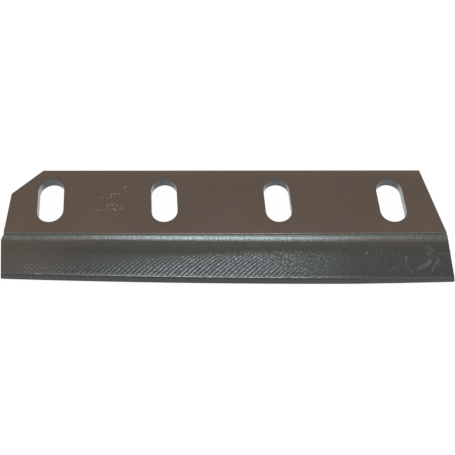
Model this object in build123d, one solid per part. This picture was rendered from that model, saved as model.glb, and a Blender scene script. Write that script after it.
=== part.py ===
from build123d import *
import math
import os

# Silage knife for a chopping drum. Millimetres, +Z up.
# X runs along the cutting edge, -Y is the cutting side, Z is the normal of the mounting flat.
# The origin is the middle of the row of slots, on the underside of the flat, where the knife seats.
# The solid is built with the upper face at Z = 0 and raised by one thickness at the end.

os.makedirs("parts", exist_ok=True)

# Plate
plate_thickness = 8.0

# Mounting slots
slot_count = 4
slot_pitch = 96.4
slot_width = 22.0
slot_length = 42.4
slot_skew_deg = 4.3

# Mounting flat, seen from above; the end margins run from the end slots' centres
flat_far_y = 31.4
left_end_margin = 34.5
left_end_slant_deg = -1.5
left_corner_cut = 24.2
right_end_margin = 34.95
right_end_slant_deg = 13.1

# Fold between the flat and the blade, on the upper side
fold_y = -32.6
fold_bow_radius = 18000.0
fold_step_depth = 1.2
fold_step_run = 0.6
bend_outer_radius = 10.0
bend_start_deg = 8.0
blade_slope_deg = 36.0

# Bend on the underside
bend_inner_radius = 3.0

# Cutting edge and the narrow front face below it
edge_vertex_x = 90.0
edge_vertex_y = -62.7
edge_bow_radius = 11000.0
front_lean_deg = 3.0

# Ends of the blade
blade_left_overhang = 2.8
blade_left_slant_deg = -1.6
blade_end_lean_deg = 15.0
jog_run = 8.8
left_jog_out = 5.25
right_jog_out = 2.75
left_lower_cut_depth = 8.4
left_lower_cut_slope_deg = 20.0
right_lower_cut_depth = 6.0
right_lower_cut_slope_deg = 50.0

# Shallow relief under the blade's right end
relief_length = 70.0
relief_angle_deg = 1.1
relief_offset = 6.0

# Room around the part for the cutting solids
spare = 30.0

# Row of slots and the ends of the flat
row_half = slot_pitch * (slot_count - 1) / 2
left_end_x = -row_half - left_end_margin
right_end_x = row_half + right_end_margin
half_length = right_end_x + 2 * spare

slope = math.radians(blade_slope_deg)
start = math.radians(bend_start_deg)
along_blade = Vector(0, -math.cos(slope), -math.sin(slope))

# Upper side of the blade: foot of the step, then the end of the round
step_foot = (fold_y - fold_step_run, -fold_step_depth)
round_end = (
    step_foot[0] - bend_outer_radius * (math.sin(slope) - math.sin(start)),
    step_foot[1] - bend_outer_radius * (math.cos(start) - math.cos(slope)),
)
round_half = (start + slope) / 2
round_mid = (
    step_foot[0] - bend_outer_radius * (math.sin(round_half) - math.sin(start)),
    step_foot[1] - bend_outer_radius * (math.cos(start) - math.cos(round_half)),
)

# Underside of the blade, one plate thickness below the upper side
under_point = (
    round_end[0] + plate_thickness * math.sin(slope),
    round_end[1] - plate_thickness * math.cos(slope),
)
under_bend_y = under_point[0] + (-plate_thickness - under_point[1]) / math.tan(slope)
front_limit_y = edge_vertex_y - spare
under_front_z = -plate_thickness - (under_bend_y - front_limit_y) * math.tan(slope)

# Side profile of the plate, with spare stock above the blade
profile = Polygon(
    (flat_far_y, 0),
    (flat_far_y, -plate_thickness),
    (under_bend_y, -plate_thickness),
    (front_limit_y, under_front_z),
    (front_limit_y, 0),
    align=None,
)
knife = extrude(Plane.YZ * profile, amount=half_length, both=True)
bend_line = (
    knife.edges()
    .filter_by(Axis.X)
    .sort_by(lambda e: abs(e.center().Y - under_bend_y) + abs(e.center().Z + plate_thickness))[0]
)
knife = fillet(bend_line, radius=bend_inner_radius)

# Stock taken off above the blade, following the bowed fold
slope_front_z = round_end[1] - (round_end[0] - front_limit_y + spare) * math.tan(slope)
with BuildSketch(Plane.YZ) as above_blade:
    with BuildLine():
        Polyline((round_end[0], round_end[1]), (front_limit_y - spare, slope_front_z))
        Polyline((front_limit_y - spare, slope_front_z), (front_limit_y - spare, spare))
        Polyline((front_limit_y - spare, spare), (fold_y, spare), (fold_y, 0), step_foot)
        ThreePointArc(step_foot, round_mid, round_end)
    make_face()
bow_axis = Axis((0, fold_y + fold_bow_radius, 0), (0, 0, 1))
sweep_half_deg = math.degrees(half_length / fold_bow_radius)
stock = revolve(above_blade.sketch, axis=bow_axis, revolution_arc=2 * sweep_half_deg)
knife -= stock.rotate(bow_axis, -sweep_half_deg)

# Front face: a slightly bowed cut that leans forward at the bottom
lean = math.radians(front_lean_deg)
edge_z = round_end[1] - (round_end[0] - edge_vertex_y) * math.tan(slope)
front_plane = Plane(
    origin=(edge_vertex_x, edge_vertex_y, edge_z),
    x_dir=(1, 0, 0),
    z_dir=(0, math.sin(lean), math.cos(lean)),
)
reach = half_length + edge_vertex_x
sag = edge_bow_radius - math.sqrt(edge_bow_radius**2 - reach**2)
with BuildSketch(front_plane) as before_edge:
    with BuildLine():
        ThreePointArc((-reach, sag), (0, 0), (reach, sag))
        Polyline((reach, sag), (reach, -2 * spare), (-reach, -2 * spare), (-reach, sag))
    make_face()
knife -= extrude(before_edge.sketch, amount=2 * spare, both=True)

# Plan outline of the flat; past the fold it is left wide for the blade's own end cuts
left_slant = math.tan(math.radians(left_end_slant_deg))
right_slant = math.tan(math.radians(right_end_slant_deg))
left_corner_y = flat_far_y - left_corner_cut
jog_y = fold_y - jog_run
outline = Polygon(
    (left_end_x - left_slant * left_corner_y + left_corner_cut, flat_far_y),
    (left_end_x - left_slant * left_corner_y, left_corner_y),
    (left_end_x - left_slant * fold_y, fold_y),
    (left_end_x - left_jog_out, jog_y),
    (-half_length, jog_y),
    (-half_length, front_limit_y),
    (half_length, front_limit_y),
    (half_length, jog_y),
    (right_end_x - right_slant * jog_y + right_jog_out, jog_y),
    (right_end_x - right_slant * fold_y, fold_y),
    (right_end_x - right_slant * flat_far_y, flat_far_y),
    align=None,
)
knife &= extrude(Plane.XY * outline, amount=2 * spare, both=True)

# Ends of the blade: they lean out towards the underside
end_lean = math.tan(math.radians(blade_end_lean_deg))
blade_left_x = left_end_x - blade_left_overhang
left_lower_x = blade_left_x - left_lower_cut_depth * end_lean
left_cut_run = spare / math.tan(math.radians(left_lower_cut_slope_deg))
left_cut = Polygon(
    (blade_left_x + spare * end_lean, spare),
    (left_lower_x, -left_lower_cut_depth),
    (left_lower_x + left_cut_run, -left_lower_cut_depth - spare),
    (-2 * half_length, -left_lower_cut_depth - spare),
    (-2 * half_length, spare),
    align=None,
)
right_top_x = right_end_x - right_slant * fold_y
right_lower_x = right_top_x + right_lower_cut_depth * end_lean
right_cut_run = spare / math.tan(math.radians(right_lower_cut_slope_deg))
right_cut = Polygon(
    (right_top_x - spare * end_lean, spare),
    (right_lower_x, -right_lower_cut_depth),
    (right_lower_x - right_cut_run, -right_lower_cut_depth - spare),
    (2 * half_length, -right_lower_cut_depth - spare),
    (2 * half_length, spare),
    align=None,
)
cut_plane = Plane(origin=(0, fold_y, 0), x_dir=(1, 0, 0), z_dir=(0, -1, 0))
left_run = Vector(math.tan(math.radians(blade_left_slant_deg)), along_blade.Y, along_blade.Z)
right_run = Vector(right_slant * math.cos(slope), along_blade.Y, along_blade.Z)
knife -= extrude(cut_plane * left_cut, amount=2 * spare, dir=left_run)
knife -= extrude(cut_plane * right_cut, amount=2 * spare, dir=right_run)

# Relief under the right end of the blade
relief_plane = Plane(
    origin=Vector(0, under_bend_y, -plate_thickness) + along_blade * relief_offset,
    x_dir=(1, 0, 0),
    z_dir=along_blade,
)
relief_start_x = right_end_x - relief_length
relief_rise = (half_length - relief_start_x) * math.tan(math.radians(relief_angle_deg))
relief = Polygon(
    (relief_start_x, 0),
    (half_length, relief_rise),
    (half_length, -spare),
    (relief_start_x, -spare),
    align=None,
)
knife -= extrude(relief_plane * relief, amount=2 * spare, dir=along_blade)

# Mounting slots, skewed to the row
for i in range(slot_count):
    slot = SlotOverall(slot_length, slot_width, rotation=90 + slot_skew_deg)
    place = Pos(i * slot_pitch - row_half, 0, 0)
    knife -= extrude(place * slot, amount=2 * plate_thickness, both=True)

# Seat face at Z = 0
knife = Pos(0, 0, plate_thickness) * knife

export_step(knife, "parts/silage_knife.step")
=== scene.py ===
import math

import bmesh
import bpy
from mathutils import Matrix, Vector


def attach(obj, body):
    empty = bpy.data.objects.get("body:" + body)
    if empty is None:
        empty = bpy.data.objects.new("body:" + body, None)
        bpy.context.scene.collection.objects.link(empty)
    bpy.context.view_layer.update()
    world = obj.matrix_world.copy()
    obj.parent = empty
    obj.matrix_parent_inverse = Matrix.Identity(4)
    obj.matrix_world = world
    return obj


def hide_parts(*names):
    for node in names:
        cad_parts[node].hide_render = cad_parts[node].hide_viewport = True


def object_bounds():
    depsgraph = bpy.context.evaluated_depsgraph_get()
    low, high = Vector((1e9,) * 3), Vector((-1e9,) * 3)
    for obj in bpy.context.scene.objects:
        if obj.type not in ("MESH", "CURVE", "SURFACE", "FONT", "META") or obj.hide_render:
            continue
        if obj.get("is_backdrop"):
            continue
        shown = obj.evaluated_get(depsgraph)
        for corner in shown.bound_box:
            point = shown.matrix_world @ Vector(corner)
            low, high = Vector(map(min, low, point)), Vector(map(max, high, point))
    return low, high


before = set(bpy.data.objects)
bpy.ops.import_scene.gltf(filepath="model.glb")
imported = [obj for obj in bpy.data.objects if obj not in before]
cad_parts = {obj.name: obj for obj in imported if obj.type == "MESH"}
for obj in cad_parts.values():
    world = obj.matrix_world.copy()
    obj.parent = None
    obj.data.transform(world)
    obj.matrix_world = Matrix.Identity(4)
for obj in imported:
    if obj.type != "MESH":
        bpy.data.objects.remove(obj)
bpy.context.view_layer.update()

# The sizes repeat those of the solid, in millimetres. X runs along the cutting edge, -Y is the
# cutting side, and heights are counted from the upper face of the flat.
MM = 0.001
PLATE_THICKNESS = 8.0

# Mounting slots
SLOT_COUNT = 4
SLOT_PITCH = 96.4
SLOT_WIDTH = 22.0
SLOT_LENGTH = 42.4
SLOT_SKEW = math.radians(4.3)
ROW_HALF = SLOT_PITCH * (SLOT_COUNT - 1) / 2

# Mounting flat, with each slant as a run in X for a run in Y
FAR_Y = 31.4
LEFT_END_MARGIN = 34.5
LEFT_END_X = -ROW_HALF - LEFT_END_MARGIN
LEFT_SLANT = math.tan(math.radians(-1.5))
LEFT_CORNER_CUT = 24.2
RIGHT_END_MARGIN = 34.95
RIGHT_END_X = ROW_HALF + RIGHT_END_MARGIN
RIGHT_SLANT = math.tan(math.radians(13.1))

# Fold and bend
FOLD_Y = -32.6
FOLD_BOW_RADIUS = 18000.0
STEP_RUN = 0.6
STEP_DEPTH = 1.2
BEND_RADIUS = 10.0
BEND_START = math.radians(8.0)
BEND_INNER_RADIUS = 3.0

# Blade
SLOPE = math.radians(36.0)
EDGE_X = 90.0
EDGE_Y = -62.7
EDGE_BOW_RADIUS = 11000.0
FRONT_LEAN = math.radians(3.0)
BLADE_LEFT_OVERHANG = 2.8
BLADE_LEFT_SLANT = math.tan(math.radians(-1.6))
END_LEAN = math.tan(math.radians(15.0))
JOG_RUN = 8.8
LEFT_JOG_OUT = 5.25
RIGHT_JOG_OUT = 2.75
LEFT_LOWER_DEPTH = 8.4
LEFT_LOWER_SLOPE = math.radians(20.0)
RIGHT_LOWER_DEPTH = 6.0
RIGHT_LOWER_SLOPE = math.radians(50.0)

# Relief under the right end
RELIEF_LENGTH = 70.0
RELIEF_RATE = math.tan(math.radians(1.1))
RELIEF_OFFSET = 6.0

# Small roundings of the long edges: at the crest of the fold, the foot of the step,
# the cutting edge and the heel of the front face
CREST_BACK = 0.25
CREST_IN = 0.05
CREST_DROP = 0.12
CREST_DOWN = 0.55
FOOT_UP = 0.25
EDGE_BACK = 0.42
EDGE_IN = 0.1
EDGE_DOWN = 0.36
HEEL_BREAK = 0.12

# Cut edges are broken by this much where two faces meet at more than the sharp angle
BROKEN_EDGE = 0.2
BROKEN_EDGE_PARTS = 2
SHARP_ANGLE = math.radians(30)

# How finely the mesh divides the plate's length and its rounds
FIRST_STATION = -206.0
STATION_GAP = 4.0
STATION_COUNT = 105
BEND_PARTS = 9
SLOPE_PARTS = 6
INNER_BEND_PARTS = 5
SLOT_END_PARTS = 24

# Side profile of the blade: foot of the step, end of the bend, and the same bend underneath
SLOPE_SIN = math.sin(SLOPE)
SLOPE_COS = math.cos(SLOPE)
SLOPE_TAN = math.tan(SLOPE)
LEAN_SIN = math.sin(FRONT_LEAN)
LEAN_COS = math.cos(FRONT_LEAN)
FOOT_Y = FOLD_Y - STEP_RUN
FOOT_Z = -STEP_DEPTH
BEND_END_Y = FOOT_Y - BEND_RADIUS * (SLOPE_SIN - math.sin(BEND_START))
BEND_END_Z = FOOT_Z - BEND_RADIUS * (math.cos(BEND_START) - SLOPE_COS)
UNDER_Y = BEND_END_Y + PLATE_THICKNESS * SLOPE_SIN
UNDER_Z = BEND_END_Z - PLATE_THICKNESS * SLOPE_COS
UNDER_BEND_Y = UNDER_Y + (-PLATE_THICKNESS - UNDER_Z) / SLOPE_TAN
EDGE_Z = BEND_END_Z - (BEND_END_Y - EDGE_Y) * SLOPE_TAN

# Nicks lie in loose groups on the upper side, between the first two slots:
# centre of the group, its half sizes, and how strongly it shows
NICK_GROUPS = [
    ((-83.0, 15.5), (4.0, 6.0), 1.0),
    ((-89.5, 6.5), (7.0, 2.4), 1.0),
    ((-98.0, 2.0), (9.0, 3.0), 0.35),
    ((-91.0, -6.5), (10.0, 3.6), 1.0),
    ((-104.0, -9.5), (6.0, 2.4), 0.7),
]

# Scuffs near the blade's right end: both ends of each, as the place along the blade and
# the distance down its slope, then its half width and its strength
SCUFFS = [
    ((155.2, 14.2), (152.6, 16.0), 0.9, 0.5),
    ((152.6, 16.0), (158.5, 28.0), 0.6, 0.45),
    ((165.0, 23.8), (173.5, 18.5), 2.6, 0.3),
    ((175.3, 27.0), (180.2, 17.0), 1.4, 0.3),
    ((180.2, 17.0), (182.0, 22.0), 0.9, 0.3),
    ((138.0, 27.5), (146.5, 21.0), 0.7, 0.2),
    ((142.0, 28.0), (150.5, 21.0), 0.6, 0.16),
    ((171.5, 6.5), (175.5, 9.0), 3.2, 0.15),
    ((172.0, 11.0), (173.5, 13.0), 1.6, 0.2),
    ((180.0, 11.0), (189.0, 12.0), 0.9, 0.16),
]

# Milling cutter: its radius, how far down the slope its centre ran, its feed for each turn,
# and where along the blade it came down
CUTTER_RADIUS = 107.0
CUTTER_CENTRE = 105.5
CUTTER_FEED = 4.3
CUTTER_START_X = -144.5

# Camera of the photograph: its angles in degrees, its focal length in pixels, its place in metres
ELEVATION = 58.6263
TURN = -0.3742
ROLL = -0.3545
FOCAL_PIXELS = 763.877
PHOTO_PIXELS = 455
SENSOR_WIDTH = 36.0
CAMERA_PLACE = (0.007818, -0.357197, 0.549953)

# Stage, in metres: half the floor's side and its gap below the knife, and the strengths of its
# whites and lights. The floor's shade is the share of it that takes light and shadow.
FLOOR_HALF = 6.0
FLOOR_GAP = 0.0005
FLOOR_GLOW = 1.02
FLOOR_COLOUR = (0.95, 0.95, 0.95, 1.0)
FLOOR_SHADE = 0.05
WHITE = (1.0, 1.0, 1.0, 1.0)
EVEN_LIGHT = 0.55
BACKDROP = 1.0


def plug(tree, socket, value):
    """Links a field to the socket, or sets the socket to a plain value."""
    if isinstance(value, Field):
        tree.links.new(value.socket, socket)
    else:
        socket.default_value = value


class Field:
    """A value at every point of a surface. Arithmetic on fields makes the shader's nodes."""

    def __init__(self, tree, socket):
        self.tree = tree
        self.socket = socket

    def node(self, operation, *values):
        made = self.tree.nodes.new("ShaderNodeMath")
        made.operation = operation
        for socket, value in zip(made.inputs, values):
            plug(self.tree, socket, value)
        return Field(self.tree, made.outputs[0])

    def __add__(self, other):
        return self.node("ADD", self, other)

    def __sub__(self, other):
        return self.node("SUBTRACT", self, other)

    def __rsub__(self, other):
        return self.node("SUBTRACT", other, self)

    def __mul__(self, other):
        return self.node("MULTIPLY", self, other)

    def __truediv__(self, other):
        return self.node("DIVIDE", self, other)

    def __abs__(self):
        return self.node("ABSOLUTE", self)

    def larger(self, other):
        return self.node("MAXIMUM", self, other)

    def sine(self):
        return self.node("SINE", self)

    def root(self):
        return self.node("SQRT", self)

    def clamped(self):
        """The result of the last operation, kept between 0 and 1."""
        self.socket.node.use_clamp = True
        return self

    def step(self, low, high, out_low=0.0, out_high=1.0):
        """A smooth step from out_low to out_high as the field goes from low to high."""
        made = self.tree.nodes.new("ShaderNodeMapRange")
        made.interpolation_type = "SMOOTHSTEP"
        for socket, value in zip(made.inputs, (self, low, high, out_low, out_high)):
            plug(self.tree, socket, value)
        return Field(self.tree, made.outputs[0])

    def span(self, rise_from, rise_to, fall_from, fall_to):
        """1 between rise_to and fall_from, fading out smoothly on both sides."""
        return self.step(rise_from, rise_to) * self.step(fall_to, fall_from)


class Surface:
    """A procedural material. x, y and z are in millimetres, z counted from the seat face."""

    def __init__(self, name):
        self.material = bpy.data.materials.new(name)
        self.material.use_nodes = True
        self.tree = self.material.node_tree
        self.tree.nodes.clear()
        out = self.tree.nodes.new("ShaderNodeOutputMaterial")
        self.shader = self.tree.nodes.new("ShaderNodeBsdfPrincipled")
        self.tree.links.new(self.shader.outputs["BSDF"], out.inputs["Surface"])
        coordinates = self.tree.nodes.new("ShaderNodeTexCoord")
        scale = self.tree.nodes.new("ShaderNodeVectorMath")
        scale.operation = "SCALE"
        scale.inputs["Scale"].default_value = 1 / MM
        self.tree.links.new(coordinates.outputs["Object"], scale.inputs[0])
        self.place = Field(self.tree, scale.outputs[0])
        self.normal = Field(self.tree, coordinates.outputs["Normal"])
        self.x, self.y, self.z = self.parts(self.place)

    def parts(self, vector):
        """The three numbers of a vector."""
        made = self.tree.nodes.new("ShaderNodeSeparateXYZ")
        plug(self.tree, made.inputs[0], vector)
        return [Field(self.tree, output) for output in made.outputs]

    def vector(self, x, y, z):
        made = self.tree.nodes.new("ShaderNodeCombineXYZ")
        for socket, value in zip(made.inputs, (x, y, z)):
            plug(self.tree, socket, value)
        return Field(self.tree, made.outputs[0])

    def noise(self, scale, detail, rough, where=None):
        """Noise with this many features for each millimetre, over the place or another vector."""
        made = self.tree.nodes.new("ShaderNodeTexNoise")
        plug(self.tree, made.inputs["Vector"], self.place if where is None else where)
        plug(self.tree, made.inputs["Scale"], scale)
        plug(self.tree, made.inputs["Detail"], detail)
        plug(self.tree, made.inputs["Roughness"], rough)
        return Field(self.tree, made.outputs["Fac"])

    def mix(self, share, first, second):
        """From the first colour to the second as share goes from 0 to 1."""
        made = self.tree.nodes.new("ShaderNodeMix")
        made.data_type = "RGBA"
        first_colour, second_colour, mixed_colour = made.inputs[6], made.inputs[7], made.outputs[2]
        plug(self.tree, made.inputs["Factor"], share)
        plug(self.tree, first_colour, first)
        plug(self.tree, second_colour, second)
        return Field(self.tree, mixed_colour)

    def bump(self, height, strength, distance):
        """A bumped normal; the distance is in metres."""
        made = self.tree.nodes.new("ShaderNodeBump")
        plug(self.tree, made.inputs["Height"], height)
        plug(self.tree, made.inputs["Strength"], strength)
        plug(self.tree, made.inputs["Distance"], distance)
        return Field(self.tree, made.outputs[0])

    def finish(self, **values):
        """Sets the shader's sockets, named with _ for each space, and returns the material."""
        for name, value in values.items():
            plug(self.tree, self.shader.inputs[name.replace("_", " ")], value)
        return self.material


def srgb(red, green, blue):
    """An 8-bit screen colour as a linear one."""
    linear = []
    for value in (red / 255, green / 255, blue / 255):
        if value <= 0.04045:
            linear.append(value / 12.92)
        else:
            linear.append(((value + 0.055) / 1.055) ** 2.4)
    return (*linear, 1.0)


def in_nick_groups(surface):
    """How strongly nicks show: within the groups and on the upper side alone."""
    shown = 0.0
    for (centre_x, centre_y), (half_x, half_y), strength in NICK_GROUPS:
        across = (surface.x - centre_x) / half_x
        away = (surface.y - centre_y) / half_y
        reach = across * across + away * away
        shown = reach.step(1.3, 0.5, 0.0, strength).larger(shown)
    return shown * surface.z.step(PLATE_THICKNESS - 0.5, PLATE_THICKNESS - 0.2)


def oxide():
    """Brown oxide left on the flat and underneath: even, with faint grain."""
    surface = Surface("brown_oxide")
    cloud = surface.noise(0.02, 4.0, 0.6)
    grain = surface.noise(1.3, 3.0, 0.7)
    rolled = surface.noise(1.0, 2.0, 0.5, surface.vector(surface.x * 0.12, surface.y * 0.01, surface.z))
    pits = surface.noise(0.5, 2.0, 0.5)
    tone = surface.mix(cloud.step(0.3, 0.7), srgb(78, 61, 48), srgb(81, 65, 51))
    tone = surface.mix(rolled.step(0.35, 0.7, 0.0, 0.3), tone, srgb(77, 63, 53))
    tone = surface.mix(grain.step(0.55, 0.8, 0.0, 0.2), tone, srgb(95, 79, 66))
    # Painted sheen: lighter towards the far edge of the flat
    tone = surface.mix(surface.y.step(FAR_Y - 10, FAR_Y, 0.0, 0.5), tone, srgb(94, 75, 62))
    tone = surface.mix(surface.x.step(-180.0, 60.0, 0.4, 0.0), tone, srgb(83, 66, 52))
    tone = surface.mix(pits.step(0.7, 0.76, 0.0, 0.35), tone, srgb(60, 52, 46))

    # Random nicks of bright metal, each with a painted shade offset beside it
    shown = in_nick_groups(surface)
    beside = surface.vector(surface.x - 0.7, surface.y + 1.3, surface.z)
    painted_nick_shade = surface.noise(0.55, 2.0, 0.7, beside).step(0.57, 0.61) * shown
    tone = surface.mix(painted_nick_shade * 0.7, tone, srgb(52, 46, 42))
    nicks = surface.noise(0.55, 2.0, 0.7).step(0.61, 0.655) * shown
    tone = surface.mix(nicks, tone, srgb(186, 176, 164))

    rough = grain.step(0.3, 0.7, 0.5, 0.62)
    height = grain * 0.6 + cloud
    return surface.finish(Base_Color=tone, Roughness=rough, Normal=surface.bump(height, 0.2, 0.0003))


def scratch(x, down, start, end, half_width):
    """A soft line from start to end, both given along the blade and down its slope."""
    run = end[0] - start[0]
    drop = end[1] - start[1]
    past_x = x - start[0]
    past_down = down - start[1]
    share = ((past_x * run + past_down * drop) / (run * run + drop * drop)).clamped()
    off_x = past_x - share * run
    off_down = past_down - share * drop
    return (off_x * off_x + off_down * off_down).root().step(half_width, 0.25 * half_width)


class BladeSteel(Surface):
    """The bent and sloping part, with the coordinates and textures that its layers share."""

    def __init__(self):
        super().__init__("blade_steel")
        # y with the bow of the fold taken off, and the distance down the slope from the bend
        self.level = self.y - self.x * self.x / (2 * FOLD_BOW_RADIUS)
        self.down = (BEND_END_Y - self.level) / SLOPE_COS
        self.speck = self.noise(1.1, 3.0, 0.65)
        self.fine = self.noise(2.2, 2.0, 0.6)
        self.blotch = self.noise(0.35, 3.0, 0.6)
        self.broken = self.noise(0.55, 2.0, 0.6)
        self.dot = self.noise(0.85, 2.0, 0.6)
        self.streak = self.noise(1.0, 3.0, 0.6, self.vector(self.x * 1.1, self.y * 0.16, 0.0))
        # The milled zone begins at a soft wandering border that falls towards the left end
        border_low = self.x.step(60.0, -150.0, 6.8, 13.5)
        border_high = self.x.step(60.0, -130.0, 13.0, 29.0)
        self.depth = (self.blotch - 0.5) * 4.0 + self.down
        self.milled = self.depth.step(border_low, border_high)

    def ground_bend(self):
        """Uncoated ground metal with a painted highlight, lighter and bluer in the middle of the length, a
        painted shade along the foot of the step, and a ragged lower border: tone, reach, roughness.
        """
        worn = self.streak * 0.5 + self.speck * 0.5
        # Painted highlight: lighter, bluer tones in the middle of the length
        bright = self.x.span(-145.0, -10.0, 25.0, 140.0)
        low = self.mix(bright, srgb(73, 71, 69), srgb(80, 88, 90))
        high = self.mix(bright, srgb(99, 97, 95), srgb(138, 149, 152))
        # Painted shade: a darker tone over the top of the bend, along the foot of the step
        foot = self.mix(bright, srgb(72, 76, 74), srgb(79, 84, 82))
        across = self.x * 0.006 + (self.level - 0.15) + self.x.step(-85.0, -160.0, 0.0, 1.4)
        tone = self.mix(worn.step(0.38, 0.62), low, high)
        tone = self.mix(across.step(FOOT_Y - 2.3, FOOT_Y - 0.7), tone, foot)
        ragged = (worn - 0.5) * 5.0 + across
        reach = ragged.step(BEND_END_Y - 0.9, BEND_END_Y + 1.0)
        return tone, reach, worn.step(0.35, 0.65, 0.24, 0.38)

    def slope(self):
        """Dark smooth band under the bend, with painted shade that darkens it further down, then milled
        steel with a painted sheen in the middle, both browner at the left end.
        """
        left = self.x.step(-105.0, -165.0)
        middle = self.x.span(-160.0, -20.0, 20.0, 150.0)
        dark = self.mix(self.streak.step(0.3, 0.7), srgb(70, 68, 63), srgb(77, 74, 69))
        # Painted shade: the smooth band darkens further down from the bend
        dark = self.mix(self.down.step(0.5, 8.0, 0.0, 0.5), dark, srgb(60, 60, 57))
        dark = self.mix(left * 0.85, dark, srgb(82, 75, 70))
        steel = self.mix(self.speck.step(0.35, 0.68), srgb(60, 61, 59), srgb(76, 78, 76))
        # Painted sheen: lighter, cooler steel in the middle of the length
        sheen = (0.8 - self.milled * 0.3) * middle
        sheen = (sheen * self.speck.step(0.35, 0.65, 0.6, 1.3)).clamped()
        steel = self.mix(sheen, steel, self.mix(self.milled, srgb(80, 82, 80), srgb(78, 83, 84)))
        steel = self.mix(left * 0.9, steel, srgb(85, 79, 74))
        return self.mix(self.depth.step(9.5, 14.0), dark, steel)

    def cutter_marks(self, tone):
        """Marks of a wide cutter, mirrored past the place where it came down, lightened by a painted
        highlight with painted glints: tone and depth of cut.
        """
        off = self.down - CUTTER_CENTRE
        reach = (CUTTER_RADIUS**2 - off * off).root()
        run = abs(self.x - CUTTER_START_X)
        turns = (run + reach + self.blotch * 1.4) / CUTTER_FEED
        ridge = (turns * (2 * math.pi)).sine() * 0.5 + 0.5

        # Painted highlight: shown most strongly low down around the middle, with a faint first pass at the
        # far left
        heavy = self.x.span(-150.0, -60.0, 20.0, 70.0) * self.down.step(19.0, 28.0)
        first = self.x.span(-176.0, -160.0, -110.0, -60.0) * self.down.step(16.0, 24.0, 0.0, 0.2)
        shown = self.x.span(-160.0, -20.0, 0.0, 118.0) * self.milled * (heavy * 0.4 + 1.0)
        shown = shown.larger(first)

        # Clear lines at the left break up into grains to the right and near the top
        grainy = ((28.0 - self.down) * 3.0 + self.x).step(38.0, 108.0)
        upper = self.down.step(21.0, 10.0, 0.1, 0.8)
        lines = ridge.step(0.5, 0.97) * self.dot.step(0.38, 0.6, 0.25, 1.15)
        lines = lines * (1.0 - grainy.larger(upper))
        dots = self.dot.step(0.49, 0.59) * grainy.larger(upper * 0.6)
        marks_and_painted_highlight = ((lines + dots).clamped() * shown).clamped()
        # Painted highlight: the cutter lines and grains take a light metal tone
        tone = self.mix(marks_and_painted_highlight, tone, srgb(138, 145, 148))
        # Painted glints on the ridges
        glint = self.dot.step(0.6, 0.68) * ridge.step(0.3, 0.8)
        tone = self.mix((glint * shown).clamped(), tone, srgb(172, 177, 180))

        # Painted glints: loose bright specks further right
        sparks = self.x.span(60.0, 75.0, 140.0, 160.0) * self.down.span(6.0, 8.5, 12.0, 15.0)
        sparks = self.noise(0.5, 2.0, 0.6).step(0.66, 0.7) * sparks
        tone = self.mix(sparks * 0.6, tone, srgb(136, 140, 140))
        return tone, ridge * shown * (1.0 - grainy)

    def rubbed_margin_and_painted_highlight(self, tone):
        """A margin along the bowed cutting edge, worn by rubbing, with a painted highlight that is
        strongest in the middle of the length.
        """
        past = self.x - EDGE_X
        margin = self.y - (past * past * (1 / (2 * EDGE_BOW_RADIUS)) + EDGE_Y)
        rub_and_painted_highlight = margin.step(2.6, 0.4) * self.broken.step(0.35, 0.62, 0.15, 1.0)
        # Painted highlight: the margin is lightest in the middle of the length
        rub_and_painted_highlight = rub_and_painted_highlight * self.x.span(-210.0, -60.0, 60.0, 150.0)
        return self.mix(rub_and_painted_highlight * 0.55, tone, srgb(136, 140, 138))

    def scuffs(self, tone):
        """Light scuffs, a little wavy and broken up."""
        bent_x = (self.blotch - 0.5) * 5.0 + self.x
        bent_down = (self.broken - 0.5) * 5.0 + self.down
        wear = 0.0
        for start, end, half_width, strength in SCUFFS:
            line = scratch(bent_x, bent_down, start, end, half_width)
            wear = (line * strength).larger(wear)
        wear = wear * self.speck.step(0.42, 0.6, 0.15, 1.15)
        return self.mix(wear, tone, srgb(136, 136, 132))


def blade():
    """Milled slope with painted highlights, glints, sheen and shade, a margin worn by rubbing with a
    painted highlight, uncoated ground metal over its bend with a painted highlight and shade, and scuffs
    over both.
    """
    surface = BladeSteel()
    tone, cuts = surface.cutter_marks(surface.slope())
    tone = surface.rubbed_margin_and_painted_highlight(tone)
    bare_and_painted_highlight, strip, bare_rough = surface.ground_bend()
    tone = surface.scuffs(surface.mix(strip, tone, bare_and_painted_highlight))
    rough = surface.mix(strip, surface.speck.step(0.3, 0.7, 0.36, 0.5), bare_rough)
    height = surface.fine * 0.25 + (surface.speck * 0.3 + cuts)
    bumps = surface.bump(height, 0.6, 0.0005)
    return surface.finish(Base_Color=tone, Roughness=rough, Normal=bumps, Metallic=1.0)


def worn_line_and_painted_highlight():
    """Edges along the fold and the cutting edge, worn by rubbing in dashes, with a painted highlight that
    is brightest in the middle.
    """
    surface = Surface("worn_edge_and_painted_highlight")
    fold = surface.y.step(-50.0, -45.0)
    dash = surface.noise(1.0, 3.0, 0.6, surface.vector(surface.x * 0.35, surface.y, surface.z))
    # Painted highlight: the edges shine most in the middle of the length
    at_fold = surface.x.span(-90.0, 20.0, 45.0, 95.0)
    at_edge = surface.x.span(-160.0, -20.0, 40.0, 120.0)
    nick = surface.x.span(-155.0, -152.5, -151.0, -148.5)
    shine = surface.mix(fold, at_edge.larger(nick), at_fold * 0.85)
    shine = (shine * dash.step(0.4, 0.6, 0.2, 1.15)).clamped()
    tone = surface.mix(fold, srgb(97, 99, 96), srgb(102, 96, 89))
    tone = surface.mix(dash.step(0.42, 0.62, 0.0, 0.6), tone, srgb(116, 113, 107))
    # Light colour of the worn edges under the painted highlight
    bright = surface.mix(fold, srgb(186, 191, 190), srgb(150, 146, 140))
    rough = dash.step(0.3, 0.7, 0.42, 0.55)
    return surface.finish(Base_Color=surface.mix(shine, tone, bright), Roughness=rough, Metallic=1.0)


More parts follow.
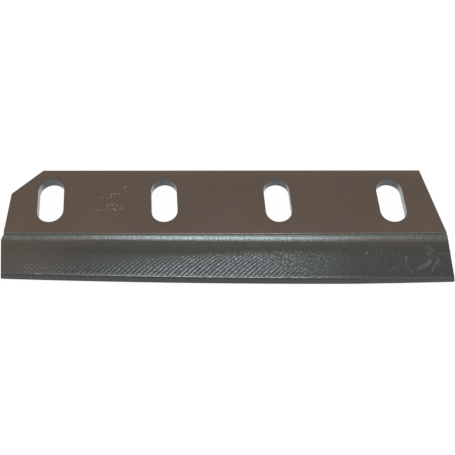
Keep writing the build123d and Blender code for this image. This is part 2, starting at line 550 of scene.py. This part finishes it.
def plain(name, low, high, rough, metallic, scale=0.8, stretch=1.0):
    """A worn surface between two tones; a stretch below 1 draws its grain out along z."""
    surface = Surface(name)
    grain = surface.noise(scale, 4.0, 0.65, surface.vector(surface.x, surface.y, surface.z * stretch))
    return surface.finish(
        Base_Color=surface.mix(grain.step(0.35, 0.68), low, high),
        Roughness=grain.step(0.3, 0.7, rough - 0.06, rough + 0.08),
        Normal=surface.bump(grain, 0.3, 0.0003),
        Metallic=metallic,
    )


def slot_wall():
    """Machined walls of the slots, streaked through the plate, with a painted reflection that makes the
    straight sides brighter.
    """
    surface = Surface("cut_wall")
    grain = surface.noise(1.0, 4.0, 0.65, surface.vector(surface.x, surface.y, surface.z * 0.15))
    facing_x = surface.parts(surface.normal)[0]
    tone = surface.mix(grain.step(0.35, 0.68), srgb(74, 81, 85), srgb(106, 114, 119))
    # Painted reflection: the walls that face along the length are much lighter
    tone = surface.mix(abs(facing_x).step(0.7, 1.0, 0.0, 0.75), tone, srgb(176, 182, 186))
    rough = grain.step(0.3, 0.7, 0.34, 0.48)
    bumps = surface.bump(grain, 0.3, 0.0003)
    return surface.finish(Base_Color=tone, Roughness=rough, Normal=bumps, Metallic=0.9)


# Faces of the plate, by their place in the list of materials
OXIDE, BLADE, FRONT, CUT, EDGE, WORN_AND_PAINTED_HIGHLIGHT = range(6)
MATERIALS = [
    oxide(),
    blade(),
    plain("front_face", srgb(43, 45, 45), srgb(56, 59, 59), 0.45, 0.8),
    slot_wall(),
    plain("sheared_edge", srgb(58, 55, 51), srgb(80, 75, 70), 0.5, 0.6, 0.9, 0.2),
    worn_line_and_painted_highlight(),
]


def to_mesh(name, verts, faces, kinds):
    """A closed mesh from millimetres, raised so that the seat face is at zero."""
    mesh = bpy.data.meshes.new(name)
    mesh.from_pydata([(x * MM, y * MM, (z + PLATE_THICKNESS) * MM) for x, y, z in verts], [], faces)
    for material in MATERIALS:
        mesh.materials.append(material)
    mesh.polygons.foreach_set("material_index", kinds)
    bm = bmesh.new()
    bm.from_mesh(mesh)
    bmesh.ops.recalc_face_normals(bm, faces=bm.faces)
    bm.to_mesh(mesh)
    bm.free()
    piece = bpy.data.objects.new(name, mesh)
    bpy.context.scene.collection.objects.link(piece)
    return piece


def prism(name, outlines, sweep, kind):
    """Closed prisms: each outline swept along a vector."""
    verts = []
    faces = []
    for outline in outlines:
        count = len(outline)
        start = len(verts)
        verts += [tuple(point) for point in outline]
        verts += [tuple(Vector(point) + Vector(sweep)) for point in outline]
        faces.append(tuple(range(start, start + count)))
        faces.append(tuple(range(start + count, start + 2 * count)))
        for i in range(count):
            j = (i + 1) % count
            faces.append((start + i, start + j, start + count + j, start + count + i))
    return to_mesh(name, verts, faces, [kind] * len(faces))


def cut(piece, cutter, operation="DIFFERENCE"):
    """Applies one boolean and removes its cutter."""
    boolean = piece.modifiers.new("cut", "BOOLEAN")
    boolean.operation = operation
    boolean.solver = "EXACT"
    boolean.object = cutter
    evaluated = piece.evaluated_get(bpy.context.evaluated_depsgraph_get())
    shaped = bpy.data.meshes.new_from_object(evaluated)
    piece.modifiers.clear()
    piece.data = shaped
    bpy.data.objects.remove(cutter)


def front_hit(x, base_y, base_z):
    """Where the bowed, leaning front cut meets the sloping line through (base_y, base_z)."""
    past = x - EDGE_X
    edge_bow = EDGE_BOW_RADIUS - math.sqrt(EDGE_BOW_RADIUS**2 - past * past)
    side = edge_bow + EDGE_Y * LEAN_COS + (base_z - base_y * SLOPE_TAN - EDGE_Z) * LEAN_SIN
    y = side / (LEAN_COS - SLOPE_TAN * LEAN_SIN)
    return y, base_z + (y - base_y) * SLOPE_TAN


def fold_rows(bow):
    """Crest of the fold, the step below it, and the round of the bend."""
    step = math.hypot(STEP_RUN, STEP_DEPTH)
    step_y = -STEP_RUN / step
    step_z = -STEP_DEPTH / step
    rows = [
        (FOLD_Y + bow + CREST_BACK, 0.0, WORN_AND_PAINTED_HIGHLIGHT),
        (FOLD_Y + bow - CREST_IN, -CREST_DROP, WORN_AND_PAINTED_HIGHLIGHT),
        (FOLD_Y + bow + CREST_DOWN * step_y, CREST_DOWN * step_z, BLADE),
        (FOLD_Y + bow + (step - FOOT_UP) * step_y, (step - FOOT_UP) * step_z, BLADE),
    ]
    for i in range(1, BEND_PARTS + 1):
        angle = BEND_START + (SLOPE - BEND_START) * i / BEND_PARTS
        y = FOOT_Y - BEND_RADIUS * (math.sin(angle) - math.sin(BEND_START))
        z = FOOT_Z - BEND_RADIUS * (math.cos(BEND_START) - math.cos(angle))
        rows.append((y + bow, z, BLADE))
    return rows


def slope_rows(x, bow):
    """Slope of the blade and its rubbed edge."""
    edge_y, edge_z = front_hit(x, BEND_END_Y + bow, BEND_END_Z)
    rows = []
    for i in range(1, SLOPE_PARTS):
        share = i / SLOPE_PARTS
        y = BEND_END_Y + bow + (edge_y - BEND_END_Y - bow) * share
        rows.append((y, BEND_END_Z + (edge_z - BEND_END_Z) * share, BLADE))
    inside_y = edge_y + EDGE_IN * (SLOPE_COS - LEAN_SIN)
    inside_z = edge_z + EDGE_IN * (SLOPE_SIN - LEAN_COS)
    rows.append((edge_y + EDGE_BACK * SLOPE_COS, edge_z + EDGE_BACK * SLOPE_SIN, WORN_AND_PAINTED_HIGHLIGHT))
    rows.append((inside_y, inside_z, WORN_AND_PAINTED_HIGHLIGHT))
    rows.append((edge_y - EDGE_DOWN * LEAN_SIN, edge_z - EDGE_DOWN * LEAN_COS, FRONT))
    return rows


def under_rows(x):
    """Broken heel of the front face, and the round of the bend underneath."""
    heel_y, heel_z = front_hit(x, UNDER_Y, UNDER_Z)
    rows = [
        (heel_y + HEEL_BREAK * LEAN_SIN, heel_z + HEEL_BREAK * LEAN_COS, FRONT),
        (heel_y + HEEL_BREAK * SLOPE_COS, heel_z + HEEL_BREAK * SLOPE_SIN, OXIDE),
    ]
    centre_y = UNDER_BEND_Y + BEND_INNER_RADIUS * math.tan(SLOPE / 2)
    centre_z = -PLATE_THICKNESS - BEND_INNER_RADIUS
    for i in range(INNER_BEND_PARTS + 1):
        angle = math.pi / 2 + SLOPE * (1 - i / INNER_BEND_PARTS)
        y = centre_y + BEND_INNER_RADIUS * math.cos(angle)
        z = centre_z + BEND_INNER_RADIUS * math.sin(angle)
        rows.append((y, z, OXIDE))
    return rows


def section(x):
    """The plate's side profile at x: (y, z, material of the face that starts there)."""
    bow = x * x / (2 * FOLD_BOW_RADIUS)
    return fold_rows(bow) + slope_rows(x, bow) + under_rows(x)


def bent_plate():
    """The bent plate, longer than the knife, with straight ends."""
    stations = [FIRST_STATION + STATION_GAP * i for i in range(STATION_COUNT)]
    row_kinds = [kind for _, _, kind in section(0.0)]
    rows = len(row_kinds)
    verts = []
    for x in stations:
        verts += [(x, y, z) for y, z, _ in section(x)]
    faces = []
    kinds = []
    for j in range(STATION_COUNT - 1):
        for k in range(rows - 1):
            corner = j * rows + k
            faces.append((corner, corner + rows, corner + rows + 1, corner + 1))
            kinds.append(row_kinds[k])

    # Far edge at both ends, then the flat, its underside, the far face and the two end faces
    left_top = len(verts)
    left_under = left_top + 1
    right_top = left_top + 2
    right_under = left_top + 3
    for x in (stations[0], stations[-1]):
        verts += [(x, FAR_Y, 0.0), (x, FAR_Y, -PLATE_THICKNESS)]
    fold_line = [j * rows for j in range(STATION_COUNT)]
    under_line = [start + rows - 1 for start in fold_line]
    right_rows = range(fold_line[-1], fold_line[-1] + rows)
    faces.append((left_top, right_top, *reversed(fold_line)))
    faces.append((left_under, *under_line, right_under))
    faces.append((left_top, left_under, right_under, right_top))
    faces.append((left_top, *range(rows), left_under))
    faces.append((right_top, right_under, *reversed(right_rows)))
    kinds += [OXIDE, OXIDE, EDGE, EDGE, EDGE]
    return to_mesh("knife_plate", verts, faces, kinds)


def plan_outline():
    """What stays, seen from above: past the fold it is wide, for the blade's own end cuts."""
    wide_x = 260.0
    front_y = -100.0
    past_y = FAR_Y + 5.0
    bottom = -60.0
    height = 100
    corner_y = FAR_Y - LEFT_CORNER_CUT
    jog_y = FOLD_Y - JOG_RUN
    corner_x = LEFT_END_X - LEFT_SLANT * corner_y
    outline = [
        (corner_x + LEFT_CORNER_CUT, past_y),
        (corner_x + LEFT_CORNER_CUT, FAR_Y),
        (corner_x, corner_y),
        (LEFT_END_X - LEFT_SLANT * FOLD_Y, FOLD_Y),
        (LEFT_END_X - LEFT_JOG_OUT, jog_y),
        (-wide_x, jog_y),
        (-wide_x, front_y),
        (wide_x, front_y),
        (wide_x, jog_y),
        (RIGHT_END_X - RIGHT_SLANT * jog_y + RIGHT_JOG_OUT, jog_y),
        (RIGHT_END_X - RIGHT_SLANT * FOLD_Y, FOLD_Y),
        (RIGHT_END_X - RIGHT_SLANT * past_y, past_y),
    ]
    return prism("outline", [[(x, y, bottom) for x, y in outline]], (0, 0, height), EDGE)


def blade_end(name, side, top_x, lower_depth, lower_slope, slant):
    """What is cut off one end of the blade, along its slope; side is -1 at the left, 1 at the right."""
    room = 30.0
    far_x = side * 300.0
    length = 60
    lower_x = top_x + side * lower_depth * END_LEAN
    profile = [
        (top_x - side * room * END_LEAN, room),
        (lower_x, -lower_depth),
        (lower_x - side * room / math.tan(lower_slope), -lower_depth - room),
        (far_x, -lower_depth - room),
        (far_x, room),
    ]
    sweep = Vector((slant, -SLOPE_COS, -SLOPE_SIN)) * length
    return prism(name, [[(x, FOLD_Y, z) for x, z in profile]], sweep, EDGE)


def left_blade_end():
    """The left end leans out, and its lower corner is cut back at a low angle."""
    top_x = LEFT_END_X - BLADE_LEFT_OVERHANG
    return blade_end("left_end", -1, top_x, LEFT_LOWER_DEPTH, LEFT_LOWER_SLOPE, BLADE_LEFT_SLANT)


def right_blade_end():
    """The right end goes on from the flat's slant, and its lower corner is cut back more steeply."""
    top_x = RIGHT_END_X - RIGHT_SLANT * FOLD_Y
    slant = RIGHT_SLANT * SLOPE_COS
    return blade_end("right_end", 1, top_x, RIGHT_LOWER_DEPTH, RIGHT_LOWER_SLOPE, slant)


def relief():
    """The shallow wedge taken off under the right end of the blade."""
    past_x = 250.0
    under = -20.0
    length = 60
    start_x = RIGHT_END_X - RELIEF_LENGTH
    along = Vector((0, -SLOPE_COS, -SLOPE_SIN))
    out = Vector((0, -SLOPE_SIN, SLOPE_COS))
    base = Vector((0, UNDER_BEND_Y, -PLATE_THICKNESS)) + along * RELIEF_OFFSET
    wedge = [(start_x, 0.0), (past_x, (past_x - start_x) * RELIEF_RATE), (past_x, under), (start_x, under)]
    profile = [base + Vector((x, 0, 0)) + out * rise for x, rise in wedge]
    return prism("relief", [profile], (0, -SLOPE_COS * length, -SLOPE_SIN * length), OXIDE)


def slot_outline(centre_x):
    """Outline of one slot: two half rounds joined by its straight sides."""
    bottom = -30.0
    centre = Vector((centre_x, 0.0))
    to_end = Vector((-math.sin(SLOT_SKEW), math.cos(SLOT_SKEW))) * (SLOT_LENGTH - SLOT_WIDTH) / 2
    ring = []
    for end, first_angle in ((1, 0.0), (-1, math.pi)):
        for j in range(SLOT_END_PARTS + 1):
            angle = SLOT_SKEW + first_angle + math.pi * j / SLOT_END_PARTS
            outwards = Vector((math.cos(angle), math.sin(angle)))
            point = centre + to_end * end + outwards * SLOT_WIDTH / 2
            ring.append((point.x, point.y, bottom))
    return ring


def slots():
    """The row of slots, each turned a little from square to the row."""
    height = 60
    rings = [slot_outline(i * SLOT_PITCH - ROW_HALF) for i in range(SLOT_COUNT)]
    return prism("slots", rings, (0, 0, height), CUT)


def break_cut_edges(piece):
    """Marks the sharp cut edges for a small bevel; the long edges have their rounding already."""
    no_length = 1e-7
    bm = bmesh.new()
    bm.from_mesh(piece.data)
    bmesh.ops.dissolve_degenerate(bm, dist=no_length, edges=bm.edges)
    weight = bm.edges.layers.float.new("bevel_weight_edge")
    for edge in bm.edges:
        beside_cut = any(face.material_index in (CUT, EDGE) for face in edge.link_faces)
        edge[weight] = float(beside_cut and edge.calc_face_angle(0.0) > SHARP_ANGLE)
    for face in bm.faces:
        face.smooth = True
    bm.to_mesh(piece.data)
    bm.free()
    bevel = piece.modifiers.new("edges", "BEVEL")
    bevel.width = BROKEN_EDGE * MM
    bevel.segments = BROKEN_EDGE_PARTS
    bevel.limit_method = "WEIGHT"
    bevel.harden_normals = True


knife = bent_plate()
cut(knife, plan_outline(), "INTERSECT")
cut(knife, left_blade_end())
cut(knife, right_blade_end())
cut(knife, relief())
cut(knife, slots())
break_cut_edges(knife)

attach(knife, "root")
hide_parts("silage_knife")


def seen_directly(tree):
    """1 for camera rays and for rays that a reflection or glass sends on, otherwise 0."""
    path = tree.nodes.new("ShaderNodeLightPath")
    seen = Field(tree, path.outputs["Is Camera Ray"])
    for ray in ("Is Glossy Ray", "Is Transmission Ray"):
        seen = seen.larger(Field(tree, path.outputs[ray]))
    return seen


def floor_white():
    """White to the camera and in reflections, with a share that takes the lamps' light and shadow."""
    material = bpy.data.materials.new("floor_white")
    material.use_nodes = True
    tree = material.node_tree
    tree.nodes.clear()
    out = tree.nodes.new("ShaderNodeOutputMaterial")
    glow = tree.nodes.new("ShaderNodeEmission")
    glow.inputs["Strength"].default_value = FLOOR_GLOW
    matt = tree.nodes.new("ShaderNodeBsdfDiffuse")
    matt.inputs["Color"].default_value = FLOOR_COLOUR
    shaded = tree.nodes.new("ShaderNodeMixShader")
    shaded.inputs["Fac"].default_value = FLOOR_SHADE
    tree.links.new(glow.outputs[0], shaded.inputs[1])
    tree.links.new(matt.outputs[0], shaded.inputs[2])
    pick = tree.nodes.new("ShaderNodeMixShader")
    plug(tree, pick.inputs["Fac"], seen_directly(tree))
    tree.links.new(matt.outputs[0], pick.inputs[1])
    tree.links.new(shaded.outputs[0], pick.inputs[2])
    tree.links.new(pick.outputs[0], out.inputs["Surface"])
    return material


def flat_floor(level):
    """A wide square floor at this level."""
    corners = [(-1, -1), (1, -1), (1, 1), (-1, 1)]
    mesh = bpy.data.meshes.new("floor")
    mesh.from_pydata([(x * FLOOR_HALF, y * FLOOR_HALF, level) for x, y in corners], [], [(0, 1, 2, 3)])
    mesh.materials.append(floor_white())
    ground = bpy.data.objects.new("floor", mesh)
    bpy.context.scene.collection.objects.link(ground)
    return ground


def studio_world():
    """Even light from all round, white where it is seen directly or in a reflection."""
    world = bpy.data.worlds.new("studio")
    world.use_nodes = True
    tree = world.node_tree
    tree.nodes.clear()
    out = tree.nodes.new("ShaderNodeOutputWorld")
    light = tree.nodes.new("ShaderNodeBackground")
    light.inputs["Color"].default_value = WHITE
    light.inputs["Strength"].default_value = EVEN_LIGHT
    backdrop = tree.nodes.new("ShaderNodeBackground")
    backdrop.inputs["Color"].default_value = WHITE
    backdrop.inputs["Strength"].default_value = BACKDROP
    pick = tree.nodes.new("ShaderNodeMixShader")
    plug(tree, pick.inputs["Fac"], seen_directly(tree))
    tree.links.new(light.outputs[0], pick.inputs[1])
    tree.links.new(backdrop.outputs[0], pick.inputs[2])
    tree.links.new(pick.outputs[0], out.inputs["Surface"])
    return world


def softbox(name, place, target, width, depth, power):
    """A rectangular lamp that points at the target."""
    lamp = bpy.data.lights.new(name, "AREA")
    lamp.shape = "RECTANGLE"
    lamp.size = width
    lamp.size_y = depth
    lamp.energy = power
    box = bpy.data.objects.new(name, lamp)
    box.location = place
    box.rotation_euler = (Vector(target) - Vector(place)).to_track_quat("-Z", "Y").to_euler()
    bpy.context.scene.collection.objects.link(box)


def photo_camera():
    """The camera that sees the knife as the photograph does."""
    data = bpy.data.cameras.new("camera")
    data.sensor_width = SENSOR_WIDTH
    data.lens = FOCAL_PIXELS / PHOTO_PIXELS * data.sensor_width
    data.clip_start = 0.01
    data.clip_end = 50.0
    camera = bpy.data.objects.new("camera", data)
    bpy.context.scene.collection.objects.link(camera)
    elevation = math.radians(ELEVATION)
    roll = math.radians(ROLL)
    forward = Vector((0, math.cos(elevation), -math.sin(elevation)))
    right = Vector((1, 0, 0))
    down = forward.cross(right)
    turned = Matrix.Rotation(-math.radians(TURN), 3, "Z")
    forward = turned @ forward
    right = turned @ right
    down = turned @ down
    rolled_right = right * math.cos(roll) - down * math.sin(roll)
    rolled_down = right * math.sin(roll) + down * math.cos(roll)
    axes = Matrix((rolled_right, -rolled_down, -forward)).transposed()
    camera.matrix_world = Matrix.Translation(CAMERA_PLACE) @ axes.to_4x4()
    return camera


# Floor just under the lowest point of the knife, the lights and the camera
low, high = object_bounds()
floor = flat_floor(low.z - FLOOR_GAP)
floor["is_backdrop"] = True
bpy.context.scene.world = studio_world()
softbox("overhead", place=(0.02, -0.36, 1.5), target=(0.0, -0.03, 0.0), width=0.36, depth=0.8, power=7.0)
bpy.context.scene.camera = photo_camera()
bpy.context.scene.view_settings.view_transform = "Standard"

low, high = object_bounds()
